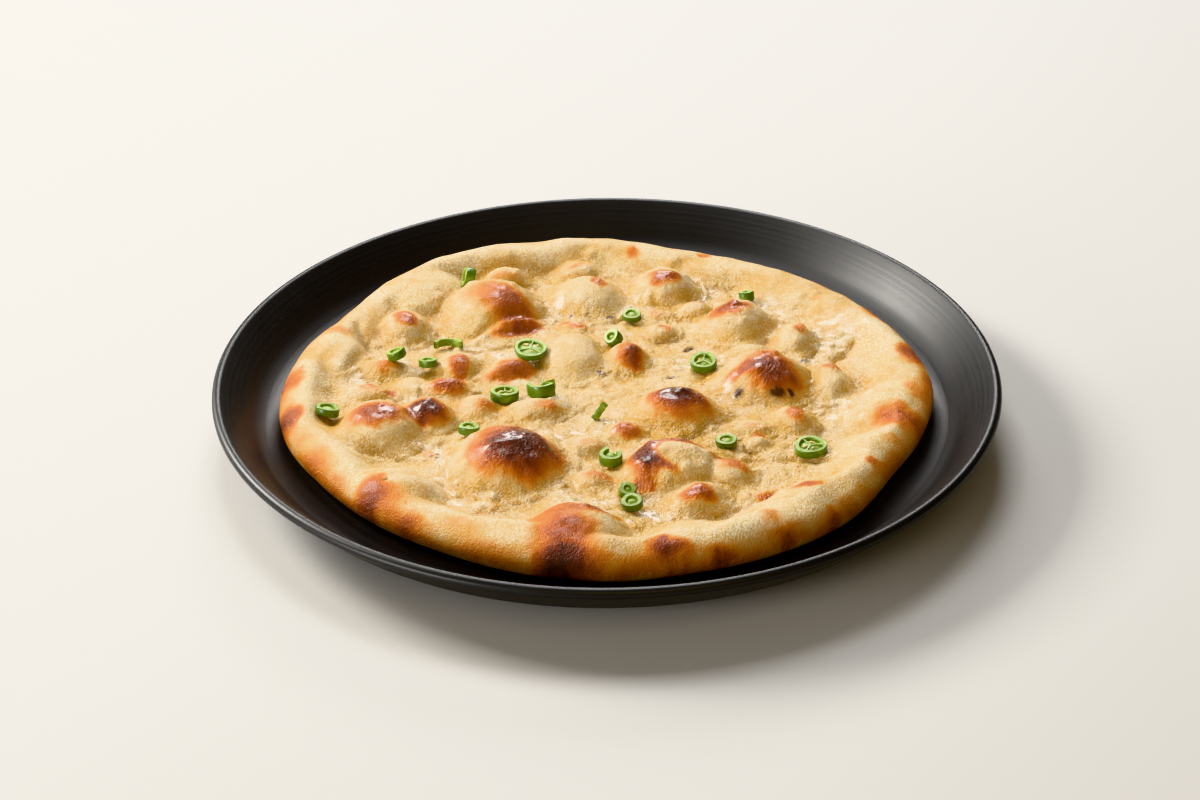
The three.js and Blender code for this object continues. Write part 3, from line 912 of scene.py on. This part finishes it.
    def _unwrap(self, mesh: bpy.types.Mesh, flats: Sequence[Vector]) -> None:
        """Lays the top out as a square and tucks the underside into a corner of the map."""
        layer = mesh.uv_layers.new(name="OFBake")
        last = self.under_rings + 3
        top_scale, top_margin = 0.42, 0.005
        corner, corner_scale = 0.925, 0.07
        for face in mesh.polygons:
            spots = [(i, flats[mesh.loops[i].vertex_index]) for i in face.loop_indices]
            under = any(flat.z < -0.5 for _, flat in spots)
            for i, flat in spots:
                if under:
                    shrink = (1 + flat.z / last) * corner_scale
                    layer.data[i].uv = (corner + flat.x * shrink, corner + flat.y * shrink)
                else:
                    layer.data[i].uv = ((flat.x + 1) * top_scale + top_margin,
                                        (flat.y + 1) * top_scale + top_margin)

    def build(self) -> bpy.types.Object:
        """Builds the bread.

        Returns:
            The finished piece.
        """
        piece = self._sheet()
        mesh = piece.data
        flats = places(mesh)
        brown, char, wet, dry, glaze, points = [], [], [], [], [], []
        for flat in flats:
            point, inset = self._shape(flat)
            x, y = point.x, point.y
            if inset >= 0:
                body = self.body_rise(x, y)
                low_edge = ease(point.z, self.waist_rise + 4.5, self.waist_rise - 0.5)
                low_edge *= ease(inset, 6.0, 2.0)
                seared = 0.30 + ripple(x, y, 9, 31.0) * 0.3 + ripple(x, y, 3, 32.0) * 0.15
                crest = ease(body, 14.0, 20.0) * 0.07
                brim = ease(inset, 12.0, 4.0) * max(0.13 + ripple(x, y, 10, 36.0) * 0.26, 0.0)
                tone = self.scorch(x, y)
                verge = ease(inset, 6.0, 1.5) * max(0.20 + ripple(x, y, 17, 37.0) * 0.25, 0.0)
                tone = 1 - ((1 - tone) * (1 - max(low_edge * seared, 0.0) * 0.7)
                            * (1 - crest - brim * 0.55))
                tone = 1 - (1 - tone) * (1 - verge)
                hollow = ease(body, 13.0, 7.0)
                inner = ease(inset, 12.0, 30.0)
                pool = 0.55 + ripple(x, y, 11, 33.0) * 0.6
                wet.append(inner * min(max(0.25 + hollow * 0.55 + pool * 0.35, 0.0), 1.0))
                glaze.append(self.glaze(x, y))
                dry.append(ease(inset, 34.0, 14.0) * 0.9 + 0.1)
            else:
                seared = 0.30 + ripple(x, y, 9, 31.0) * 0.3
                under = 0.42 + ripple(x, y, 14, 34.0) * 0.35 + ripple(x, y, 5, 35.0) * 0.22
                tone = 1 - (1 - self.scorch(x, y)) * (1 - seared)
                tone = blend(tone, min(max(under, 0.05), 0.85), ease(-inset, 0.6, 1.2))
                wet.append(0.0)
                glaze.append(0.0)
                dry.append(0.8)
            burnt = 0.0
            for cinder in self._cinders:
                if inset >= 0 and cinder.near(x, y):
                    burnt = max(burnt, cinder.burnt * cinder.cover(x, y))
            brown.append(tone)
            char.append(burnt)
            points.append(Vector((x, y, self.floor + point.z)) * MM)
        set_down(mesh, points)
        self._unwrap(mesh, flats)
        # The depth below the ground around drives the finish's painted shade in hollows and painted
        # light on proud places.
        depth = hollows(mesh, 70)
        hollow = [min(max(d / (1.3 * MM), -1.0), 1.0) if f.z > -0.5 else 0.0
                  for d, f in zip(depth, flats)]
        for name, amounts in (("browning", brown), ("char", char), ("wet", wet), ("dry", dry),
                              ("hollow", hollow), ("glaze", glaze)):
            paint(mesh, name, amounts)
        choose(piece)
        bpy.ops.object.shade_smooth()
        settle(piece, "naan", self.finish.material())
        return piece


# The plate ------------------------------------------------------------------------------------
@dataclass
class Plate:
    """The coupe plate: level well, cove, sloping wall, round lip and foot ring."""

    wall: float = 4.0
    cove: float = 24.0
    slope: float = 45.0
    foot_radius: float = 88.0
    foot_width: float = 7.0
    foot_rise: float = 3.0
    steps: int = 288
    finish: BlackGlaze = BlackGlaze()

    def _arc(self, x: float, z: float, radius: float, start: float, end: float,
             count: int) -> List[Tuple[float, float]]:
        """Points round an arc.

        Args:
            x: its centre, out from the axis.
            z: its centre, up.
            radius: its radius.
            start: where it starts, in degrees.
            end: where it ends, in degrees.
            count: how many steps it has.

        Returns:
            The points, both ends included.
        """
        angles = [math.radians(blend(start, end, i / count)) for i in range(count + 1)]
        return [(x + math.cos(a) * radius, z + math.sin(a) * radius) for a in angles]

    def profile(self) -> List[Tuple[float, float]]:
        """The outline from the middle of the underside round to the middle of the well."""
        low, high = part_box("plate")
        rim, top = high[0] / MM, high[2] / MM
        lip = self.wall / 2
        along = Vector((math.cos(math.radians(self.slope)), math.sin(math.radians(self.slope))))
        outward = Vector((along.y, -along.x))
        middle = Vector((rim - lip, top - lip))
        wall_top = middle - outward * lip
        well = self.foot_rise + self.wall
        centre_z = well + self.cove
        climb = (wall_top.y - (centre_z + outward.y * self.cove)) / along.y
        start = (wall_top - along * climb - outward * self.cove).x
        inner, outer = self.foot_radius - self.foot_width, self.foot_radius
        round_ = 0.9
        points = [(0.0, self.foot_rise), (inner * 0.5, self.foot_rise),
                  (inner - 2.0, self.foot_rise)]
        points += self._arc(inner + round_, round_, round_, 180, 270, 4)
        points += self._arc(outer - round_, round_, round_, 270, 360, 4)
        points += [(outer + 0.6, self.foot_rise - 0.6), (outer + 1.8, self.foot_rise)]
        points += self._arc(start, centre_z, self.cove + self.wall, 270, 270 + self.slope, 12)
        points += self._arc(middle.x, middle.y, lip, self.slope - 90, self.slope + 90, 12)
        points += self._arc(start, centre_z, self.cove, 270 + self.slope, 270, 16)
        points += [(start * share, well) for share in (0.8, 0.55, 0.3, 0.12)]
        points.append((0.0, well))
        return [(r * MM, z * MM) for r, z in points]

    def build(self) -> bpy.types.Object:
        """Builds the plate."""
        piece = turned(self.profile(), self.steps)
        choose(piece)
        bpy.ops.object.shade_smooth_by_angle(angle=math.radians(40))
        settle(piece, "plate", self.finish.material())
        return piece


# The chilli -----------------------------------------------------------------------------------
class Cut(Enum):
    """How a slice came off the knife."""

    RING = "ring"
    CHAMBERED = "chambered"
    HALF = "half"
    WEDGE = "wedge"
    OPEN = "open"


class Part(Enum):
    """Which part of a slice a vertex is on, as the finish reads it."""

    SKIN = 0.0
    FLESH = 1.0
    RIB = 2.0
    SEED = 3.0


@dataclass
class Slice:
    """One slice of chilli: an outer wall, and the ribs and seeds its cut shows."""

    number: int
    across: float
    thick: float
    lean: float
    facing: float
    turn: float
    cut: Cut
    wall: float = 1.7
    sink: float = 0.35
    steps: int = 44

    def _wall_profile(self) -> List[Tuple[float, float]]:
        """The wall's section: bulging skin outside, nicked cut faces, soft inside."""
        r, half = self.across / 2, self.thick / 2
        inner = r - self.wall
        crown = 0.12 * self.thick / 4
        section = [
            (r - 0.34, half), (r - 0.12, half - 0.05), (r, half - 0.28),
            (r + crown, half * 0.4), (r + crown, -half * 0.4), (r, 0.28 - half),
            (r - 0.12, 0.05 - half), (r - 0.34, -half), (blend(inner, r, 0.4), 0.10 - half),
            (inner + 0.2, -half), (inner, 0.3 - half), (inner - 0.12, 0.0), (inner, half - 0.3),
            (inner + 0.2, half), (blend(inner, r, 0.4), half - 0.14),
        ]
        return [(radius * MM, z * MM) for radius, z in section]

    def _mark(self, piece: bpy.types.Object, part: Part) -> None:
        """Paints a whole piece as one part, or the wall as skin outside and flesh inside."""
        if part is Part.SKIN:
            skin_from = (self.across / 2 - 0.2) * MM
            amounts = [Part.SKIN.value if math.hypot(v.co.x, v.co.y) > skin_from
                       else Part.FLESH.value for v in piece.data.vertices]
        else:
            amounts = [part.value] * len(piece.data.vertices)
        paint(piece.data, "part", amounts)

    def _rib(self, angle: float, reach: float) -> bpy.types.Object:
        """A thin web from the core out to the wall."""
        clear_selection()
        bpy.ops.mesh.primitive_cube_add(size=1.0, location=(0, 0, 0))
        piece = bpy.context.active_object
        bpy.ops.object.mode_set(mode="EDIT")
        bpy.ops.transform.resize(value=(reach * MM, 0.60 * MM, self.thick * 0.86 * MM))
        bpy.ops.mesh.subdivide(number_cuts=3)
        bpy.ops.transform.translate(value=(reach / 2 * MM, 0, 0))
        bpy.ops.object.mode_set(mode="OBJECT")
        points = []
        for co in places(piece.data):
            share = co.x / (reach * MM)
            waist = 1.0 - 0.45 * math.sin(math.pi * min(max(share, 0.0), 1.0))
            points.append(Matrix.Rotation(angle, 3, "Z") @ Vector((co.x, co.y * waist, co.z)))
        set_down(piece.data, points)
        self._mark(piece, Part.RIB)
        return piece

    def _blob(self, place: Vector, size: Vector, angle: float, part: Part) -> bpy.types.Object:
        """A seed, or the core the ribs meet in."""
        clear_selection()
        bpy.ops.mesh.primitive_uv_sphere_add(segments=14, ring_count=8, radius=1.0)
        piece = bpy.context.active_object
        turn = Matrix.Rotation(angle, 3, "Z")
        points = []
        for co in places(piece.data):
            dented = co * (1.0 + 0.08 * noise.noise(co * 1.7 + place * 0.9))
            scaled = Vector((dented.x * size.x, dented.y * size.y, dented.z * size.z))
            points.append((turn @ scaled + place) * MM)
        set_down(piece.data, points)
        self._mark(piece, part)
        return piece

    def _pieces(self, chance: random.Random) -> List[bpy.types.Object]:
        """Models the slice's wall, ribs and seeds."""
        inner = self.across / 2 - self.wall
        sweep = {Cut.HALF: math.pi, Cut.WEDGE: 2.5, Cut.OPEN: 2 * math.pi - 1.2}
        wall = turned(self._wall_profile(), self.steps, sweep.get(self.cut, 2 * math.pi), True)
        self._mark(wall, Part.SKIN)
        made = [wall]
        if self.cut is Cut.OPEN:
            wall.data.transform(Matrix.Rotation(0.6, 4, "Z"))
        webs: List[float] = []
        if self.cut is Cut.CHAMBERED:
            webs = [0.0, 2.09, 4.19]
        elif self.cut is Cut.WEDGE:
            webs = [0.25, 1.25, 2.25]
        for web in webs:
            made.append(self._rib(web, inner + 0.4))
        if self.cut in (Cut.RING, Cut.OPEN, Cut.CHAMBERED):
            deep = 0.37 if self.cut is Cut.CHAMBERED else 0.46
            pith = Vector((inner + 0.15, inner + 0.05, self.thick * deep))
            place = Vector((0, 0, -self.thick * 0.06))
            made.append(self._blob(place, pith, chance.uniform(0, 3), Part.FLESH))
        if self.cut in (Cut.CHAMBERED, Cut.WEDGE):
            core = Vector((inner * 0.30, inner * 0.27, self.thick * 0.45))
            made.append(self._blob(Vector((0, 0, 0)), core, chance.uniform(0, 3), Part.RIB))
        seeds = {Cut.CHAMBERED: 5, Cut.WEDGE: 3, Cut.OPEN: 2, Cut.RING: 3}.get(self.cut, 0)
        for index in range(seeds):
            base = webs[index % len(webs)] if webs else 2.4 + index * 0.9
            angle = base + chance.uniform(0.6, 1.5)
            if self.cut is Cut.WEDGE:
                angle = 0.55 + index * 0.7
            out = inner * chance.uniform(0.42, 0.70)
            size = min(inner * 0.26, 0.85)
            place = Vector((math.cos(angle) * out, math.sin(angle) * out,
                            self.thick * chance.uniform(0.12, 0.36)))
            made.append(self._blob(place, Vector((size, size * 0.78, size * 0.34)),
                                   chance.uniform(0, 3), Part.SEED))
        return made

    def build(self, bread: BVHTree, material: bpy.types.Material) -> bpy.types.Object:
        """Builds the slice and rests it on the bread.

        Args:
            bread: the naan's surface.
            material: the chilli's finish.

        Returns:
            The finished piece.
        """
        node = f"chilli_slice_{self.number:02d}"
        made = self._pieces(random.Random(self.number))
        choose(made[0])
        for other in made[1:]:
            other.select_set(True)
        if len(made) > 1:
            bpy.ops.object.join()
        piece = made[0]
        pose = (Matrix.Rotation(math.radians(self.facing), 3, "Z")
                @ Matrix.Rotation(math.radians(self.lean), 3, "Y")
                @ Matrix.Rotation(math.radians(self.turn), 3, "Z"))
        points = []
        for co in places(piece.data):
            angle = math.atan2(co.y, co.x)
            lobed = 1.0 + 0.035 * math.sin(3 * angle + self.number) + 0.03 * math.sin(
                2 * angle + self.number * 1.7)
            uneven = noise.noise(co * 260 + Vector((self.number, 0, 0))) * 0.00018
            points.append(pose @ Vector((co.x * lobed, co.y * lobed, co.z + uneven)))
        low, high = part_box(node)
        own_low = Vector([min(p[i] for p in points) for i in range(3)])
        own_high = Vector([max(p[i] for p in points) for i in range(3)])
        shift = (Vector(low) + Vector(high)) / 2 - (own_low + own_high) / 2
        above = Vector((shift.x, shift.y, shift.z + 0.05))
        drop = 1.0
        for point in points:
            hit = bread.ray_cast(point + above, Vector((0, 0, -1)))
            if hit[0] is not None:
                drop = min(drop, hit[3])
        rest = above - Vector((0, 0, drop + self.sink * MM))
        set_down(piece.data, [p + rest for p in points])
        choose(piece)
        bpy.ops.object.shade_smooth_by_angle(angle=math.radians(50))
        settle(piece, node, material)
        return piece


# Across, thickness, lean of the cut face, which way it looks, turn, cut.
SLICES: Tuple[Tuple[float, float, float, float, float, Cut], ...] = (
    (8.4, 4.0, 72, 190, 0, Cut.RING), (11.5, 3.0, 14, 90, 90, Cut.HALF),
    (7.6, 3.2, 22, 150, 40, Cut.RING), (7.2, 2.8, 14, 100, 10, Cut.RING),
    (13.2, 2.3, 3, -60, 20, Cut.CHAMBERED), (7.8, 2.2, 5, -60, 0, Cut.RING),
    (6.8, 4.2, 40, -150, 30, Cut.RING), (10.0, 3.4, 14, -110, 70, Cut.CHAMBERED),
    (6.4, 3.8, 20, 110, 0, Cut.RING), (10.6, 3.6, 8, 80, 15, Cut.CHAMBERED),
    (12.4, 5.0, 12, 120, 200, Cut.WEDGE), (8.4, 2.8, 60, 160, 0, Cut.HALF),
    (7.6, 3.0, 10, 60, 0, Cut.RING), (7.8, 2.6, 2, -100, 30, Cut.RING),
    (12.0, 2.9, 1, -80, 85, Cut.CHAMBERED), (8.3, 3.9, 6, -90, 90, Cut.OPEN),
    (6.3, 3.0, 18, -60, 0, Cut.RING), (7.4, 3.2, 12, -120, 50, Cut.RING),
    (9.3, 3.0, 18, 50, 0, Cut.RING),
)


# The studio -----------------------------------------------------------------------------------
@dataclass(frozen=True)
class Lamp:
    """A soft area light."""

    name: str
    place: Tuple[float, float, float]
    size: Tuple[float, float]
    power: float
    tint: Tuple[float, float, float] = (1.0, 1.0, 1.0)

    def build(self, target: Vector) -> None:
        """Hangs the light and turns it to the target."""
        light = bpy.data.lights.new(self.name, "AREA")
        light.shape = "RECTANGLE"
        light.size, light.size_y = self.size
        light.energy = self.power
        light.color = self.tint
        holder = bpy.data.objects.new(self.name, light)
        bpy.context.scene.collection.objects.link(holder)
        holder.location = self.place
        holder.rotation_mode = "QUATERNION"
        holder.rotation_quaternion = (target - Vector(self.place)).to_track_quat("-Z", "Y")


@dataclass
class Studio:
    """Pale floor, soft lights and the camera."""

    lens: float = 70.0
    elevation: float = 30.524
    distance: float = 0.88984
    target: Tuple[float, float, float] = (-0.002565, -0.008909, 0.015)
    roll: float = -0.507
    floor_colour: Colour = (0.60, 0.59, 0.57, 1)
    floor_side: float = 14.0
    sky_colour: Colour = (1.0, 0.93, 0.83, 1)
    sky_strength: float = 0.12
    lamps: Tuple[Lamp, ...] = (
        Lamp("key", (-0.92, 0.48, 0.68), (0.46, 0.42), 21.5, (1.0, 0.965, 0.90)),
        Lamp("back", (0.02, 1.15, 0.62), (0.52, 0.30), 7.0, (1.0, 0.985, 0.96)),
        Lamp("window", (-0.05, 0.62, 1.12), (0.62, 0.44), 9.5, (0.97, 0.98, 1.0)),
        Lamp("fill", (0.20, -1.10, 1.10), (1.10, 0.90), 3.9, (1.0, 0.81, 0.54)),
        Lamp("edge", (-1.00, -0.75, 0.26), (0.70, 0.30), 10.5, (1.0, 0.98, 0.96)),
    )

    def camera(self) -> None:
        """Makes the camera."""
        lens = bpy.data.cameras.new("camera")
        lens.lens = self.lens
        lens.sensor_width = 36.0
        lens.dof.use_dof = False
        lens.clip_start, lens.clip_end = 0.01, 50.0
        camera = bpy.data.objects.new("camera", lens)
        bpy.context.scene.collection.objects.link(camera)
        tilt, roll = math.radians(self.elevation), math.radians(self.roll)
        back = Vector((0, -math.cos(tilt), math.sin(tilt)))
        right = Vector((1, 0, 0))
        up = right.cross(-back)
        across = right * math.cos(roll) + up * math.sin(roll)
        upward = up * math.cos(roll) - right * math.sin(roll)
        camera.location = Vector(self.target) + back * self.distance
        camera.rotation_mode = "QUATERNION"
        camera.rotation_quaternion = Matrix((across, upward, back)).transposed().to_quaternion()
        bpy.context.scene.camera = camera

    def floor(self) -> None:
        """Lays the floor."""
        clear_selection()
        bpy.ops.mesh.primitive_plane_add(size=self.floor_side, location=(0, 0, 0))
        plane = bpy.context.active_object
        plane.name = "studio_floor"
        g = Graph("pale_floor")
        plane.data.materials.append(g.finish(Base_Color=self.floor_colour, Roughness=0.85))

    def build(self) -> None:
        """Sets up the camera, the floor and the lights."""
        self.camera()
        self.floor()
        world = bpy.data.worlds.new("studio")
        world.use_nodes = True
        sky = world.node_tree.nodes["Background"]
        sky.inputs["Color"].default_value = self.sky_colour
        sky.inputs["Strength"].default_value = self.sky_strength
        bpy.context.scene.world = world
        bpy.context.scene.view_settings.view_transform = "Khronos PBR Neutral"
        for lamp in self.lamps:
            lamp.build(Vector((0, 0, 0.01)))
        LOG.info("studio: %d lights", len(self.lamps))


def main() -> None:
    """Builds the studio, the plate, the bread and the chilli, in that order."""
    logging.basicConfig(level=logging.INFO, format="%(name)s %(message)s")
    noise.seed_set(WARP_SEED)
    Studio().build()
    Plate().build()
    naan = Naan().build()
    bread = BVHTree.FromObject(naan, bpy.context.evaluated_depsgraph_get())
    chilli = GreenChilli().material()
    for number, row in enumerate(SLICES, 1):
        Slice(number, *row).build(bread, chilli)
    clear_selection()


if __name__ == "__main__":
    main()
